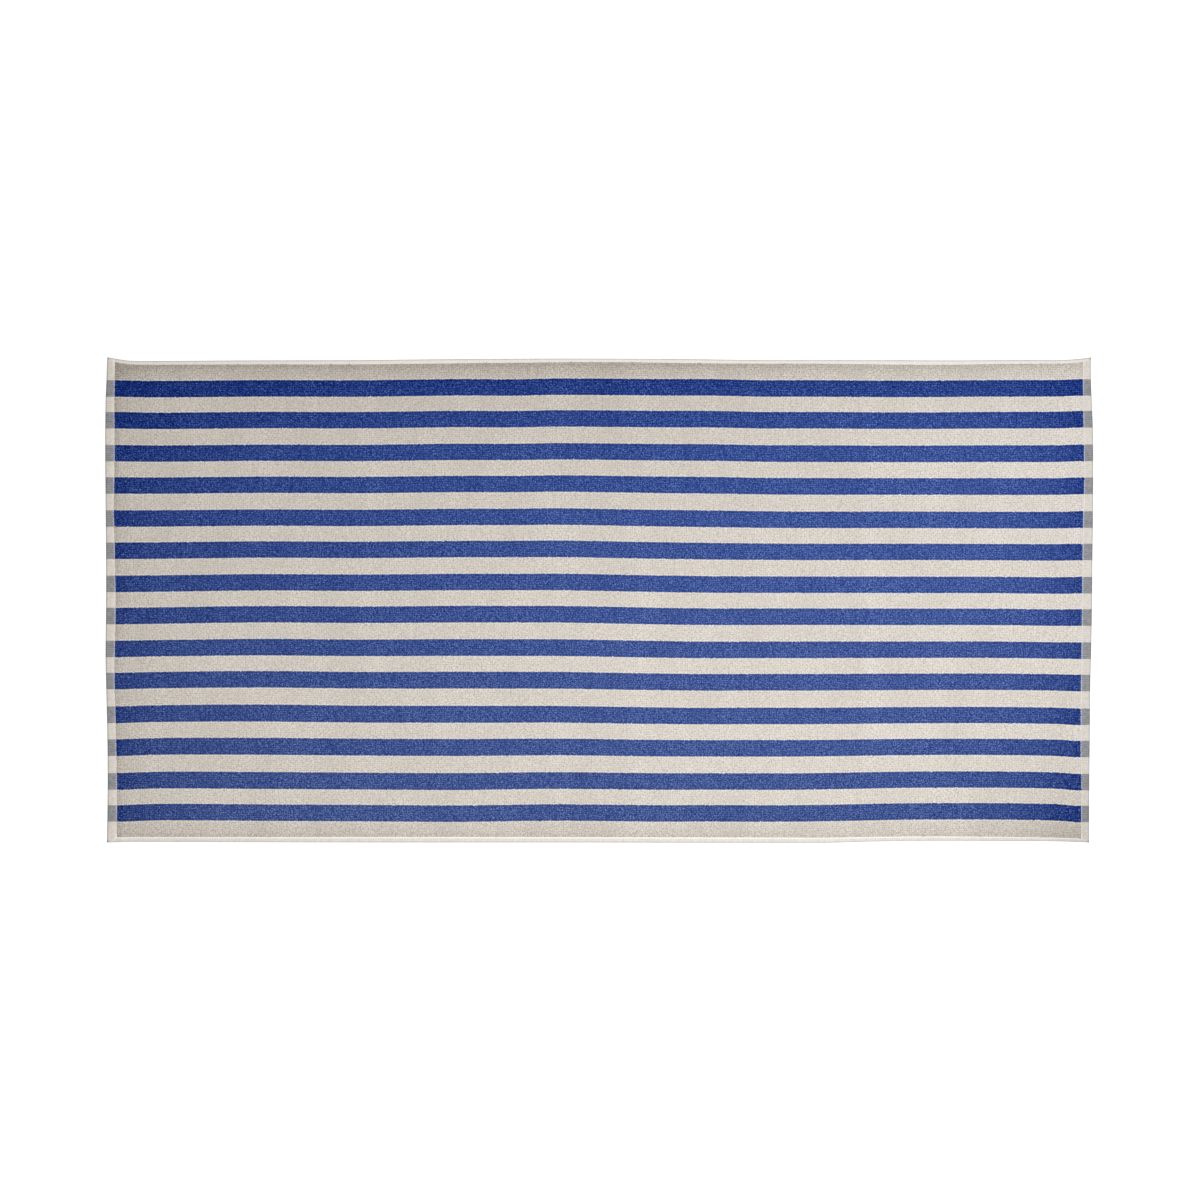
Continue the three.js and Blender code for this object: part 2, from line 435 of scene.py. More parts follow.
def terry(name, yarn):
    """Cotton loops. The attribute tone is each loop's own, with painted light and shade in it, a
    noise as broad as a hand raises and lowers it by up to 9 %, and the twist of the yarn shows
    in colour and in bump."""
    material, tree = new_material(name)
    place = add(tree, "TexCoord").outputs["Object"]
    # Patches 45 mm long and 120 mm across, where washing has laid the loops over together.
    stretched = add(tree, "Mapping", {"Vector": place, "Scale": (22, 8, 22)}).outputs[0]
    patches = add(tree, "TexNoise", {"Vector": stretched, "Scale": 1, "Detail": 2})
    shift = remap(tree, patches.outputs["Fac"], NOISE, (0.91, 1.09))
    tone = calculate(tree, "MULTIPLY", number(tree, "tone"), shift)
    colour, twist = twisted_yarn(tree, place, tone, yarn)
    bump = add(tree, "Bump", {"Height": twist, "Strength": 0.7, "Distance": 0.0008})
    matt_fibres(tree, colour, bump, roughness=0.95, gloss=0.06, sheen=0.06)
    return material


blue_terry = terry("terry_cotton_blue", blue_yarn)
ecru_terry = terry("terry_cotton_ecru", ecru_yarn)
print("Pile finishes:", blue_terry.name, "and", ecru_terry.name)

# %% [markdown]
# ## The finish of the hems: plain weave, with no loops
#
# Where the loops stop, the ground weave shows. Its warp is blue under the blue stripes and
# ecru under the others, and its weft is white all the way across, so a blue stripe turns
# grey in the hem and an ecru one turns off-white. The weave is a rib of warp yarns about
# 0.6 mm apart, crossed by finer weft. A rib that fine would be lost at this distance, so it
# is drawn as groups of yarns, a little over 3 mm apart, which is how a towel hem looks from
# a few steps away. The last yarns before the pile lie over the seam and are paler, and on the
# side hems that is also a painted highlight on the ridge beside the pile. The outer fold is
# painted darker, as painted shade where it rounds away from the light, and towards some
# corners the hems get painted shade.

# %% The ribs of the plain weave
rib_width, pick_width = 0.0032, 0.0034  # metres, each a group of yarns
slub_size = 0.004
corner_knot = "#8e908c"


def woven_ribs(tree, place, beside):
    """Bands along the towel for the warp and across it for the weft. Ribs run in from the
    edge: with the warp in the end hems, and across it in the side hems."""
    warp = add(tree, "TexWave", {
        "Vector": place, "Scale": ONE_BAND / rib_width, "Distortion": 1.5, "Detail": 2,
        "Detail Scale": 0.15,
    }, bands_direction="Y").outputs["Fac"]
    weft = add(tree, "TexWave", {
        "Vector": place, "Scale": ONE_BAND / pick_width, "Distortion": 2.0, "Detail": 2,
    }, bands_direction="X").outputs["Fac"]
    return add(tree, "Mix", {0: beside, 2: warp, 3: weft}).outputs[0]


# %% Plain-woven finishes
def plain_weave(name, cloth, rib, fold_shade_colour, end_seam, side_seam):
    """Ribs of one colour on cloth of another, then what the edges add. The mesh's numbers
    say where: in_from_end and in_from_side are millimetres from the edges, seam is how far
    the seam's colour shows, and shade is the painted shade."""
    material, tree = new_material(name)
    place = add(tree, "TexCoord").outputs["Object"]
    end, side = number(tree, "in_from_end"), number(tree, "in_from_side")
    beside = calculate(tree, "GREATER_THAN", end, side)
    ribs = woven_ribs(tree, place, beside)
    slub = add(tree, "TexNoise", {"Vector": place, "Scale": 1 / slub_size, "Detail": 3})
    uneven = remap(tree, slub.outputs["Fac"], NOISE, (-0.25, 0.65))
    mixed = add(tree, "Math", {0: ribs, 1: 0.6, 2: uneven}, operation="MULTIPLY_ADD",
                use_clamp=True)
    body = mix(tree, mixed.outputs[0], linear(rib), linear(cloth))

    # Painted shade on the outer fold, where it rounds away from the light.
    fold_shade = remap(tree, calculate(tree, "MINIMUM", end, side), (0.6, 2.2), (0.55, 0.0))
    body = mix(tree, fold_shade, body, linear(fold_shade_colour))
    # The seam's paler colour, and on the side hems also a painted highlight beside the pile.
    seam = mix(tree, beside, linear(end_seam), linear(side_seam))
    body = mix(tree, number(tree, "seam"), body, seam)
    # The folded layers end in a dark little knot at each corner.
    knot = remap(tree, calculate(tree, "MAXIMUM", end, side), (1.5, 3.5), (0.8, 0.0))
    body = mix(tree, knot, body, linear(corner_knot))
    # Painted shade: the number shade darkens the weave towards black.
    body = mix(tree, number(tree, "shade"), body, BLACK)

    bump = add(tree, "Bump", {"Height": ribs, "Strength": 0.35, "Distance": 0.0003})
    matt_fibres(tree, body, bump, roughness=0.85, gloss=0.35, sheen=0.1)
    return material


grey_weave = plain_weave(
    "plain_weave_blue_and_white", "#a19f9f", "#7f8083", "#6f7073", "#a8b4dc", "#a8b4dc")
pale_weave = plain_weave(
    "plain_weave_ecru", "#eae0d5", "#d4cdc4", "#9d9892", "#ede5dc", "#fffbf6")
print("Hem finishes:", grey_weave.name, "and", pale_weave.name)

# %% [markdown]
# ## The finish under the loops
#
# Seen from above, the ground weave is only the dark between the loops, and its tone is the
# painted shade of the loops' feet. Seen from below, the towel has loops too, pressed flat by
# its own weight. They never catch the light as the upper ones do, so there a cell pattern of
# loop size, in colour and in bump, is enough, with painted shade at the rim of each cell.

# %% Ground and underside finishes
def flat_terry(name, lies, yarn):
    """Voronoi cells 2.5 mm across: the distance from a cell's middle gives its rim painted shade
    and rounds it in bump, so that each cell reads as one flattened loop. lies names the number
    with the tone of the loops' feet, painted shade and all, so that the ground never shows
    between them as a hole."""
    material, tree = new_material(name)
    place = add(tree, "TexCoord").outputs["Object"]
    cells = add(tree, "TexVoronoi", {"Vector": place, "Scale": 1 / loop_cell})
    # Painted shade towards each cell's rim; the same number rounds the bump.
    rounding_and_rim_shade = remap(tree, cells.outputs["Distance"], (0.1, 0.75), (1.0, 0.6))
    tone = calculate(tree, "MULTIPLY", number(tree, lies), rounding_and_rim_shade)
    colour, _ = twisted_yarn(tree, place, tone, yarn)
    bump = add(tree, "Bump", {"Height": rounding_and_rim_shade, "Strength": 0.6, "Distance": 0.001})
    matt_fibres(tree, colour, bump, roughness=0.95, gloss=0.06, sheen=0.0)
    return material


blue_ground = flat_terry("terry_ground_blue", "blue_ground_tone", blue_yarn)
ecru_ground = flat_terry("terry_ground_ecru", "ecru_ground_tone", ecru_yarn)
print("Ground finishes:", blue_ground.name, "and", ecru_ground.name)

# %% [markdown]
# ## The cloth
#
# The cloth is one closed sheet: a grid for its upper face, the same grid again for its
# underside, and the two share their outer points, so there is no seam to close. The hems
# get their thickness from a profile, a short list of how high the cloth stands at each
# distance from the edge: a rounded fold, a flat band, and the dip where the stitches pull
# it down. A Solidify modifier could thicken a single grid, but it would make the hems and
# the field equally thick. Grid lines run along both sides of every stripe, so that each
# face belongs to one stripe and can simply be given that yarn's finish.

# %% Profiles of the hems
end_profile = [  # millimetres in from the end, height of the upper face, of the underside
    ("in_from", "upper", "under"),
    (0.0, 1.2, 1.2), (0.35, 2.0, 0.35), (1.2, 2.4, 0.0), (4.0, 2.5, 0.0), (8.0, 2.45, 0.0),
    (10.6, 2.35, 0.0), (11.5, 2.0, 0.0), (12.3, 1.9, 0.0), (13.2, 2.1, 0.0), (15.0, 2.6, 0.0),
]
side_profile = [
    ("in_from", "upper", "under"),
    (0.0, 1.4, 1.4), (0.5, 2.3, 0.4), (1.8, 2.8, 0.0), (4.2, 2.85, 0.0), (6.4, 2.8, 0.0),
    (7.6, 2.4, 0.0), (8.6, 2.3, 0.0), (9.6, 2.3, 0.0), (12.0, 2.6, 0.0),
]


def profile_height(profile, name, in_from):
    """Straight lines between the rows of a profile, and level past its last row."""
    rows = np.array(profile[1:], float)
    return np.interp(in_from, rows[:, 0], rows[:, profile[0].index(name)])


def hem_height(face, in_end, in_side):
    """The height of one face of the cloth: the lower of the two hems' upper faces, or the
    higher of their undersides, so that the thinner hem wins at a corner."""
    by_end = profile_height(end_profile, face, in_end)
    by_side = profile_height(side_profile, face, in_side)
    return np.minimum(by_end, by_side) if face == "upper" else np.maximum(by_end, by_side)


def hem_lines(profile, half):
    """The grid lines over the hem, from the edge of the ideal rectangle inwards."""
    return half - np.array(profile[1:], float)[:, 0]


print("The end hem is %.1f mm thick" % hem_height("upper", 5.0, half_width))

# %% [markdown]
# ## How light the pile is painted, and where
#
# The pile looks deeper in some places and paler in others, where its loops lean towards the
# eye or away from it and where more or less light falls on it. It could be left to the lean
# of every loop, but real loops are finer than these, and so are the differences. So this broad
# light and shade is painted into the tone instead, in one short table for each yarn, which
# also holds the yarn's own tone. A second table paints shade beside the edges and towards two
# of the corners, on the pile and on the hems.

# %% How light the pile is painted, in broad light and shade
tone_and_painted_light = {  # the tone of the loops along three lines of the towel, with painted light and shade
    "blue": [
        ("along", "front", "middle", "back"),
        (-650, 1.38, 1.33, 1.03), (-400, 1.48, 1.31, 1.16), (0, 1.47, 1.45, 1.24),
        (400, 1.43, 1.49, 1.33), (650, 1.36, 1.53, 1.39),
    ],
    "ecru": [
        ("along", "front", "middle", "back"),
        (-650, 1.19, 1.13, 1.11), (-400, 1.14, 1.10, 1.02), (0, 1.16, 1.13, 1.00),
        (400, 1.17, 1.14, 1.14), (650, 1.10, 1.16, 1.21),
    ],
}
painted_light_lines = {"front": -280, "middle": 0, "back": 280}
painted_foot_shade = {"blue": 0.9, "ecru": 0.45}  # painted shade: how much deeper the tone is at the loops' feet


def tone_with_painted_light_at(yarn, along, across):
    """The curve through three lines of the table of tone and painted light, joined across by
    the one parabola that passes through all three."""
    low, middle, high = (column(tone_and_painted_light[yarn], name, along) for name in painted_light_lines)
    t = across / painted_light_lines["back"]
    return middle + (high - low) / 2 * t + ((high + low) / 2 - middle) * t * t


# %% Painted shade: how much darker the cloth is beside each edge
painted_edge_shade = [  # painted shade at the edge itself: tone lost by each yarn, and share of light lost by the weave
    ("beside", "reach", "blue", "ecru", "weave"),
    ("back", 4, 0.20, 0.50, 0.0),
    ("back", 50, 0.44, 0.18, 0.0),
    ("front", 1.5, 0.30, 0.45, 0.0),
    ("front", 38, 0.04, 0.21, 0.0),
    ("left", 4, 0.20, 0.25, 0.0),
    ("left", 60, 0.32, 0.18, 0.0),
    ("right", 60, 0.47, 0.0, 0.07),
    ("back_left", 50, 0.15, 0.18, 0.03),
    ("front_right", 60, 0.15, 0.34, 0.04),
    ("front_right", 200, 0.0, 0.0, 0.13),
]


def painted_shade_at(yarn, along, across):
    """Painted shade: the sum over the rows of depth times exp(-distance / reach), in
    millimetres from the edges and from two of the corners of the pile."""
    back, front = field_half_width - across, field_half_width + across
    left, right = field_half_length + along, field_half_length - along
    distance = {
        "back": back, "front": front, "left": left, "right": right,
        "back_left": np.hypot(back, left), "front_right": np.hypot(front, right),
    }
    depth = painted_edge_shade[0].index(yarn)
    return sum(
        row[depth] * np.exp(-np.maximum(distance[row[0]], 0) / row[1]) for row in painted_edge_shade[1:]
    )


steps_in = np.array([0.0, 20.0, 100.0])
print("Tone lost by blue beside the back hem:",
      painted_shade_at("blue", 0.0, field_half_width - steps_in).round(2))

# %% [markdown]
# With those tables the cloth can be made: its grid and its faces first, then the numbers
# that its finishes read, and last the mesh.

# %% The grid of the cloth, and its faces
field_lines = np.linspace(-680, 680, 115)  # across the field, one every 12 mm


def grid_lines(hem, inner):
    """The hem's lines at both edges and the field's between them, in rising order. The
    field's stop 1 mm short of the hem's."""
    inner = inner[abs(inner) < hem[-1] - 1.0]
    return np.sort(np.concatenate([-hem, inner, hem]))


def cloth_lines():
    """The grid lines along the towel, and those across it, which also run along the borders
    of the stripes and midway between them."""
    borders = blue_stripes.ravel()
    inner = np.concatenate([borders, (borders[:-1] + borders[1:]) / 2])
    along = grid_lines(hem_lines(end_profile, half_length), field_lines)
    return along, grid_lines(hem_lines(side_profile, half_width), inner)


def closed_sheet(rows, columns):
    """The faces of two grids that share their outer points. Also which points of a grid are
    inside, because only those come twice."""
    top = np.arange(rows * columns).reshape(rows, columns)
    inside = np.zeros((rows, columns), bool)
    inside[1:-1, 1:-1] = True
    bottom = top.copy()
    bottom[inside] = rows * columns + np.arange(inside.sum())

    def quads(index):
        return np.stack([index[:-1, :-1], index[1:, :-1], index[1:, 1:], index[:-1, 1:]], -1)

    faces = np.concatenate([quads(top).reshape(-1, 4), quads(bottom)[..., ::-1].reshape(-1, 4)])
    return faces, inside.ravel()


def face_finishes(along, across):
    """Which finish each face wears: 0 and 1 are the grey and the pale weave of the hems, 2
    and 3 the blue and the ecru ground of the field. Both faces of the cloth are the same."""
    along, across = ((lines[:-1] + lines[1:]) / 2 for lines in (along, across))
    stripe = np.searchsorted(blue_stripes.ravel(), across)[None] % 2 == 1
    hemmed = (abs(along) > field_half_length)[:, None] | (abs(across) > field_half_width)
    finish = np.where(stripe, 0, 1) + np.where(hemmed, 0, 2)
    return np.concatenate([finish.ravel(), finish.ravel()])


along, across = cloth_lines()
print("The cloth's grid has", len(along), "lines along it and", len(across), "across")

# %% What the cloth tells its finishes
# The seam's colour is the last yarns' own paler one, and on the side hems a painted highlight.
seam_share = [  # how far the seam's colour shows over most of a hem, and in its last yarns
    ("hem", "over", "last"),
    ("end", 0.0, 0.45), ("back", 0.35, 0.35), ("front", 0.15, 0.9),
]
last_yarns, hem_proper = 2.4, 3.0  # out from the pile: where the last yarns end, the rest begins


def cloth_numbers(along, across, y):
    """Named numbers, one for each point: the distances from the real edges, the share of
    the seam's colour, the painted shade of the hems, and the tone of the ground, which is
    that of the feet of the loops that stand on it, painted light and shade and all."""
    in_end, in_side = half_length - abs(along), half_width - abs(across)
    from_front, from_back = y - lie(along, -half_width)[1], lie(along, half_width)[1] - y
    shares = np.array([row[1:] for row in seam_share[1:]])
    over, last = shares[np.where(in_end < in_side, 0, np.where(across > 0, 1, 2))].T
    to_pile = np.maximum(end_hem - in_end, side_hem - in_side)
    numbers = {
        "in_from_end": in_end, "in_from_side": np.minimum(from_front, from_back),
        "seam": over + (last - over) * np.interp(to_pile, [last_yarns, hem_proper], [1.0, 0.0]),
        "shade": painted_shade_at("weave", along, across),
    }
    # The ground's tone, with the painted broad light and the painted shade of edges and feet.
    for yarn, foot_shade in painted_foot_shade.items():
        lies = tone_with_painted_light_at(yarn, along, across) - painted_shade_at(yarn, along, across)
        numbers[yarn + "_ground_tone"] = lies - foot_shade
    return numbers


# %% Make the cloth
def make_cloth():
    """Two grids of the same lines, whose height comes from the profiles of the hems, with
    the unevenness added to the upper one."""
    lines = cloth_lines()
    faces, inside = closed_sheet(*(len(one_way) for one_way in lines))
    along, across = (a.ravel() for a in np.meshgrid(*lines, indexing="ij"))
    in_end, in_side = half_length - abs(along), half_width - abs(across)
    x, y = lie(along, across)
    top = hem_height("upper", in_end, in_side) + unevenness(along, across)
    upper = np.stack([x, y, top], 1)
    under = np.stack([x, y, hem_height("under", in_end, in_side)], 1)
    numbers = cloth_numbers(along, across, y)
    return put_mesh(
        "cloth", np.concatenate([upper, under[inside]]), faces,
        {label: np.concatenate([a, a[inside]]) for label, a in numbers.items()},
        [grey_weave, pale_weave, blue_ground, ecru_ground], face_finishes(*lines),
    )


cloth = make_cloth()

# %% [markdown]
# ## The finish of the sewing thread
#
# Hems are sewn with spun thread of polyester and cotton, off-white like the weft. It is
# smoother than terry, so it shines a little more.

# %% Sewing thread
ply_width = 0.0005  # metres


def spun_thread(name, colour):
    """Fine slanting bands for the plies of the thread."""
    material, tree = new_material(name)
    place = add(tree, "TexCoord").outputs["Object"]
    plies = add(tree, "TexWave", {
        "Vector": place, "Scale": ONE_BAND / ply_width,
    }, bands_direction="DIAGONAL").outputs["Fac"]
    shade = remap(tree, plies, (0.0, 1.0), (0.88, 1.0))
    colour = mix(tree, 1.0, linear(colour), shade, "MULTIPLY")
    bump = add(tree, "Bump", {"Height": plies, "Strength": 0.4, "Distance": 0.0001})
    matt_fibres(tree, colour, bump, roughness=0.6, gloss=0.5, sheen=0.1)
    return material


sewing_thread = spun_thread("sewing_thread_offwhite", "#f2eee7")
print("Thread finish:", sewing_thread.name)

# %% [markdown]
# ## The stitches
#
# A lockstitch holds each hem: short, fat stitches of sewing thread, 3.6 mm from hole to hole.
# A curve with a bevel could draw them, but then every stitch is an object to convert. Here
# one stitch is three rings of six points that grow from nothing to the thread's radius and
# shrink again, with a pole at both ends. All of them are made at once, as one array of the
# single stitch times one array of places.

# %% Make the stitches
def stitch_shape(ring_points=6):
    """A closed stitch of length 1 and thickness 1: a ring at each of three stations, whose
    radius is the root of what is left to the ends, and a pole at both ends."""
    station = np.array([-0.32, 0.0, 0.32])
    angle = np.arange(ring_points) * 2 * np.pi / ring_points
    radius = 0.5 * np.sqrt(1 - (2 * station) ** 2)
    ring = np.stack(np.broadcast_arrays(
        station[:, None], radius[:, None] * np.cos(angle), radius[:, None] * np.sin(angle),
    ), -1).reshape(-1, 3)
    points = np.concatenate([ring, [[-0.5, 0, 0], [0.5, 0, 0]]])
    here = np.arange(ring_points)
    after = (here + 1) % ring_points
    start, end = len(ring), len(ring) + 1
    sides = [
        np.stack(pair, 1) + ring_points * k
        for k in range(len(station) - 1)
        for pair in [(here, here + ring_points, after + ring_points),
                     (here, after + ring_points, after)]
    ]
    last = ring_points * (len(station) - 1)
    caps = [np.stack([here * 0 + start, here, after], 1),
            np.stack([here * 0 + end, last + after, last + here], 1)]
    return points, np.concatenate(sides + caps)


stitch_points, stitch_faces = stitch_shape()
print("One stitch:", len(stitch_points), "points,", len(stitch_faces), "triangles")

# %% Sew the hems
stitch_pitch, stitch_length, thread = 3.6, 2.9, 0.65
stitch_rise = 0.15  # from the cloth up to the middle of a stitch, of the thread's thickness
end_row, side_row = 12.2, 8.0  # the rows of stitches, in from the ends and from the sides
clear_of_side, clear_of_end = 9, 10  # where a row stops short of the corners


def seam_places():
    """The middle of every stitch on the ideal rectangle, and a step of 1 mm along its row.
    There is one row near the inner edge of each end hem and each side hem."""
    across = np.arange(clear_of_side - half_width, half_width - clear_of_side + 1, stitch_pitch)
    along = np.arange(clear_of_end - half_length, half_length - clear_of_end + 1, stitch_pitch)
    places, steps = [], []
    for side in (-1, 1):
        places.append(np.stack([across * 0 + side * (half_length - end_row), across], 1))
        steps.append(np.tile([0.0, 1.0], (len(across), 1)))
        places.append(np.stack([along, along * 0 + side * (half_width - side_row)], 1))
        steps.append(np.tile([1.0, 0.0], (len(along), 1)))
    return np.concatenate(places), np.concatenate(steps)


def make_stitches():
    """Each stitch is turned along its row, found from two places 1 mm apart, and sunk by a
    third of its thickness into the cloth."""
    at, step = seam_places()
    here, ahead = (np.stack(lie(*places.T), 1) for places in (at, at + step))
    forward = ahead - here
    forward /= np.linalg.norm(forward, axis=1)[:, None]
    sideways = np.stack([-forward[:, 1], forward[:, 0]], 1)
    in_end, in_side = (np.array([half_length, half_width]) - abs(at)).T
    height = hem_height("upper", in_end, in_side)
    long, wide, high = (stitch_points * [stitch_length, thread, thread]).T
    flat = here[:, None] + long[:, None] * forward[:, None] + wide[:, None] * sideways[:, None]
    up = height[:, None] + high + thread * stitch_rise
    points = np.concatenate([flat, up[..., None]], -1).reshape(-1, 3)
    start = np.arange(len(at))[:, None, None] * len(stitch_points)
    faces = (start + stitch_faces).reshape(-1, 3)
    return put_mesh("hem_stitches", points, faces, materials=[sewing_thread])


stitches = make_stitches()

# %% [markdown]
# ## The loops
#
# The pile decides how a towel looks. It could be hair particles, but the export drops
# those, or a displaced grid, but a grid that is fine enough for loops has ten times as many
# points, and its slopes look like sand. So every loop is a small mesh of its own: six points
# sunk into the ground and one on top, six triangles in all. It is open underneath, where the
# ground hides it. Because no point is shared with the next loop, smooth shading rounds each
# one by itself.
#
# Real loops stand about 1.6 mm apart. Here they stand 2.6 mm apart both ways, as close as a
# model of sensible size allows, and about as coarse as a camera a few steps away sees them.
# A loop is set down with a bit of chance in its place, turn, size, height and lean, always
# from a fixed seed, so that every run weaves the same towel.

# %% The shape of one loop
foot_angle = np.arange(6) * np.pi / 3
loop_points = np.concatenate([  # six points of the foot, sunk into the ground, and the top
    np.stack([np.cos(foot_angle) / 2, np.sin(foot_angle) / 2, foot_angle * 0 - 0.4], 1),
    [[0.0, 0.0, 1.0]],
])
loop_faces = np.stack([np.arange(6), (np.arange(6) + 1) % 6, np.full(6, 6)], 1)
on_top = loop_points[:, 2] > 0
loop_length, loop_width = 3.45, 3.95
picks = 540  # loops in one line along the towel
warp_lines = 9  # lines of loops in one stripe
chance = {
    "place": (0.16, 0.14),  # along and across, of the spacing
    "turn": 0.4,  # radians
    "size": (0.85, 1.15), "height": (0.7, 1.15),  # lowest and highest, of the usual
    "foot": 0.08,  # tone
}
pick_tone = np.random.default_rng(3).normal(0, 0.02, picks)  # each crosswise row of loops
print("Loops stand", round(2 * field_half_length / picks, 2), "mm apart along the towel")

# %% Where the loops of some stripes stand, and how light each is
def stand_loops(stripes, rng):
    """A grid of picks by warp lines in every stripe, each loop moved a little. Returns the
    places on the ideal rectangle, and each loop's crosswise row and line in its stripe."""
    pick = np.arange(picks)
    line = np.arange(warp_lines)
    step = 2 * field_half_length / picks
    spacing = (stripes[:, 1] - stripes[:, 0])[:, None] / warp_lines
    along = -field_half_length + (pick + 0.5) * step
    across = stripes[:, :1] + (line + 0.5) * spacing
    grid = np.meshgrid(pick, across.ravel(), indexing="ij")
    which = np.tile(line, len(stripes))[None].repeat(picks, 0)
    along = along[grid[0]] + rng.normal(0, chance["place"][0] * step, which.shape)
    across = grid[1] + rng.normal(0, chance["place"][1] * spacing.mean(), which.shape)
    return along.ravel(), across.ravel(), grid[0].ravel(), which.ravel()


crease_light_and_shade = [  # fold marks, painted lighter or darker by tone as light and shade
    ("along", "spread", "tone"),
    (-375, 24, -0.06), (-324, 9, 0.08), (-58, 18, 0.08), (14, 22, -0.10), (60, 18, 0.06),
    (368, 7, -0.12), (389, 7, 0.10), (460, 22, 0.05),
]


def loop_tone(along, across, pick, line, yarn, rim, vary, rng):
    """The tone from the table with its painted light, more or less by vary, plus that of its
    crosswise row and the painted light and shade of the crease marks. The outer lines of a
    stripe are lighter or darker by rim, and the loops near an edge get painted shade. Returns
    the tone at the top and how much painted shade the edges take from it."""
    shade = painted_shade_at(yarn, along, across)
    lies = tone_with_painted_light_at(yarn, along, across)
    tone = lies + rng.normal(0, vary, len(along)) + pick_tone[pick]
    tone += rim * ((line == 0) | (line == warp_lines - 1))
    tone += sum(rise * np.exp(-(((along - at) / spread) ** 2)) for at, spread, rise in crease_light_and_shade[1:])
    return tone - shade, shade


# %% Make the pile of some stripes
def give_bake_map(piece, faces, count):
    """The map OFBake, for when the colours are baked: a square of its own for every loop,
    in rows of as many squares as there are rows, with a margin inside each."""
    squares = int(np.ceil(np.sqrt(count)))
    corner = np.stack(np.divmod(np.arange(count), squares), 1)[:, None]
    uv = (corner + 0.5 + 0.9 * loop_points[:, :2]) / squares
    baked = piece.data.uv_layers.new(name="OFBake")
    baked.uv.foreach_set("vector", uv.reshape(-1, 2)[faces.ravel()].astype(np.float32).ravel())


def make_pile(name, stripes, finish, yarn, rim, vary, seed):
    """One loop shape times one array of places. Points turn and lean with their loop, and
    stand on the ground wherever it lies."""
    rng = np.random.default_rng(seed)
    along, across, pick, line = stand_loops(stripes, rng)
    count = len(along)
    tone, shade = loop_tone(along, across, pick, line, yarn, rim, vary, rng)
    x, y = lie(along, across)
    near = np.minimum(field_half_width - abs(across), field_half_length - abs(along))
    short = 1 - 0.3 * np.exp(-np.maximum(near, 0) / 3)  # the hem holds its neighbours down
    astray = 0.3 + 0.7 * np.exp(-near / 2)  # with no loop beyond them, the last lean furthest
    turn = rng.normal(0, chance["turn"], count)[:, None]
    grow = rng.uniform(*chance["size"], count)[:, None]
    high = (loop_height * short * rng.uniform(*chance["height"], count))[:, None]
    lean = rng.normal(0, 1, (count, 2)) * astray[:, None]
    u = loop_points[:, 1] * loop_width * grow
    v = loop_points[:, 0] * loop_length * grow
    w = loop_points[:, 2] * high
    upper = np.maximum(loop_points[:, 2], 0)
    points = np.stack([
        x[:, None] + u * np.cos(turn) - v * np.sin(turn) + lean[:, :1] * upper,
        y[:, None] + u * np.sin(turn) + v * np.cos(turn) + lean[:, 1:] * upper,
        (ground_height + unevenness(along, across))[:, None] + w,
    ], -1).reshape(-1, 3)
    faces = (np.arange(count)[:, None, None] * len(loop_points) + loop_faces).reshape(-1, 3)
    # Painted shade at the feet: their tone is deeper than the top's by the foot shade.
    foot_shade = rng.normal(painted_foot_shade[yarn], chance["foot"], count)
    feet = tone_with_painted_light_at(yarn, along, across) - shade - foot_shade
    tones = np.where(on_top, tone[:, None], feet[:, None]).clip(0, 2)
    piece = put_mesh(name, points, faces, {"tone": tones}, [finish])
    give_bake_map(piece, faces, count)
    return piece


# %% [markdown]
# The loops are made in six groups of stripes, so that no piece grows too large to work with.

# %% Weave the pile, up to five stripes at a time
blue_groups = {"front": slice(0, 5), "middle": slice(5, 9), "back": slice(9, 14)}
ecru_groups = {"front": slice(0, 5), "middle": slice(5, 10), "back": slice(10, 15)}
piles = []
for nth, (where, group) in enumerate(blue_groups.items()):
    piles.append(make_pile(
        f"pile_blue_{where}", blue_stripes[group], blue_terry, "blue",
        rim=-0.3, vary=0.38, seed=10 + nth,
    ))
for nth, (where, group) in enumerate(ecru_groups.items()):
    piles.append(make_pile(
        f"pile_ecru_{where}", ecru_stripes[group], ecru_terry, "ecru",
        rim=0.3, vary=0.1, seed=20 + nth,
    ))

# %% [markdown]
# ## Tie it to the CAD model
#
# The cloth stands for the CAD solid, which no longer shows but still collides. Every piece
# rides on the model's one body.

# %% Ride and replace
for piece in (cloth, stitches, *piles):
    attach(piece, "root")
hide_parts("towel")

# %% [markdown]
# ## Floor, light and camera
#
# The towel lies on a plain pale floor. One broad soft lamp hangs high up, to the right and in
# front, near enough that the light falls off a little towards the far left corner. A weak
# cool light comes in low from the right, as from a window, and the sky fills in the rest.
# Together they give about the light in which a colour looks as it is written. The floor and
# the sky are white to the camera, and the floor keeps its shadow.

# %% Floor
floor_mesh = bpy.data.meshes.new("floor")
reach = 30.0  # metres
floor_mesh.from_pydata(
    [(-reach, -reach, 0), (reach, -reach, 0), (reach, reach, 0), (-reach, reach, 0)],
    [], [(0, 1, 2, 3)],
)
floor = new_object("floor", floor_mesh)
floor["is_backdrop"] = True


def seen_directly(tree):
    """1 for what the camera sees, straight or by way of gloss or glass, and 0 for light."""
    path = add(tree, "LightPath").outputs
    seen = calculate(tree, "MAXIMUM", path["Is Camera Ray"], path["Is Glossy Ray"])
    return calculate(tree, "MAXIMUM", seen, path["Is Transmission Ray"])


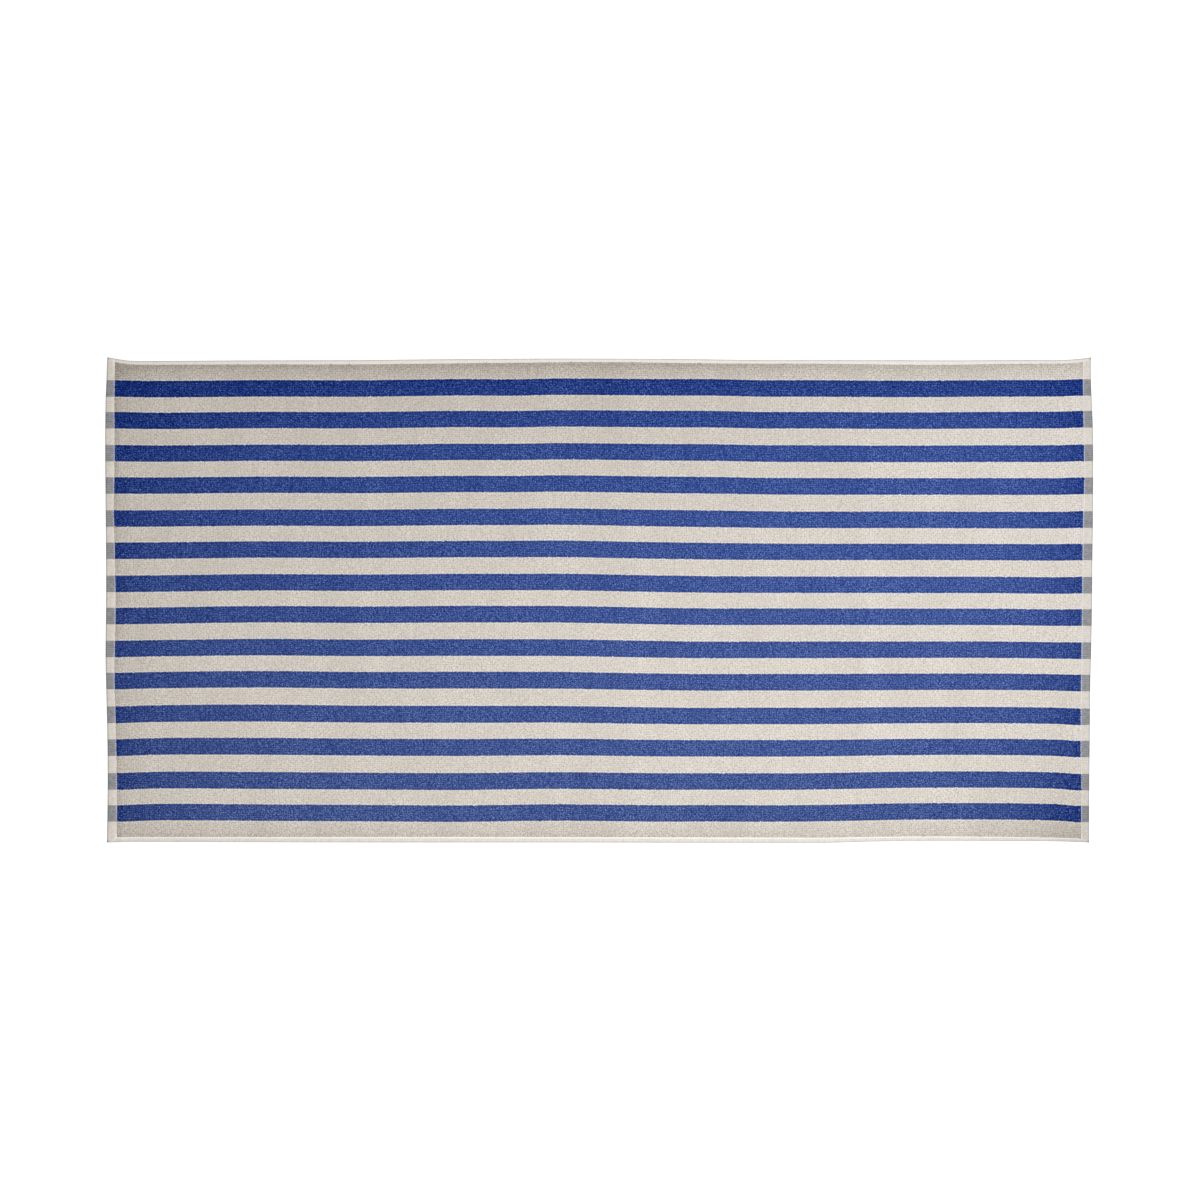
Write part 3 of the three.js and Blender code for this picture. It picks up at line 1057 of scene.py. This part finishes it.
floor_material, tree = new_material("floor_white")
paper = add(tree, "BsdfDiffuse", {"Color": (0.5, 0.5, 0.5, 1)})
glow = add(tree, "Emission", {"Color": WHITE, "Strength": 0.7})
lit_paper = add(tree, "AddShader", {0: paper.outputs[0], 1: glow.outputs[0]})
plain = add(tree, "BsdfDiffuse", {"Color": (0.8, 0.8, 0.8, 1)})
chosen = add(tree, "MixShader", {
    0: seen_directly(tree), 1: plain.outputs[0], 2: lit_paper.outputs[0],
})
add(tree, "OutputMaterial", {"Surface": chosen.outputs[0]})
floor_mesh.materials.append(floor_material)
print("The floor is %.0f m wide" % (2 * reach))

# %% Sky
sky = bpy.data.worlds.new("white_studio")
sky.use_nodes = True
tree = sky.node_tree
tree.nodes.clear()
fill = 0.21  # how strongly the sky lights the towel, where 1 is what the camera sees
strength = remap(tree, seen_directly(tree), (0.0, 1.0), (fill, 1.0))
background = add(tree, "Background", {"Color": WHITE, "Strength": strength})
add(tree, "OutputWorld", {"Surface": background.outputs[0]})
bpy.context.scene.world = sky
print("The sky fills in with a strength of", fill)

# %% Lamps
def disk_lamp(name, place, watts, colour):
    """A round lamp 1 m wide that faces the middle of the towel."""
    data = bpy.data.lights.new(name, "AREA")
    data.shape, data.size, data.energy = "DISK", 1.0, watts
    data.color = linear(colour)[:3]
    lamp = new_object(name, data)
    lamp.location = place
    lamp.rotation_euler = (-lamp.location).to_track_quat("-Z", "Y").to_euler()
    print("The %s is %.1f m away" % (name, lamp.location.length))


disk_lamp("soft_lamp", (0.6, -0.4, 2.9), 75.0, "#ffffff")
disk_lamp("window_light", (1.6, 0.1, 1.0), 1.8, "#8cc8ff")

# %% [markdown]
# The camera looks straight down from high above, through a long lens, so that the towel
# shows its true shape.

# %% Camera
camera_data = bpy.data.cameras.new("camera")
camera_data.lens = 120
camera_data.sensor_width = 36
view_width = 1.70004  # metres from side to side, at the height of the ground
beside_middle, beyond_middle = 0.00106, 0.0002  # metres, nearly over the towel's middle
camera = new_object("camera", camera_data)
distance = view_width * camera_data.lens / camera_data.sensor_width
camera.location = (beside_middle, beyond_middle, distance + ground_height * METRES)
bpy.context.scene.camera = camera
bpy.context.scene.view_settings.view_transform = "Standard"
print("The camera is %.2f m up" % camera.location.z)

# %% [markdown]
# ## The size, and finish
#
# The dressed towel has to fill the same box as the CAD model, within a little. Both boxes
# are printed.

# %% Print the sizes and finish
shown_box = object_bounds()
sizes = {
    "cad": [list(corner) for corner in cad_box],
    "visual": [list(corner) for corner in shown_box],
}
for name, (lowest, highest) in sizes.items():
    print(name, [round((b - a) * 1000, 1) for a, b in zip(lowest, highest)], "mm")
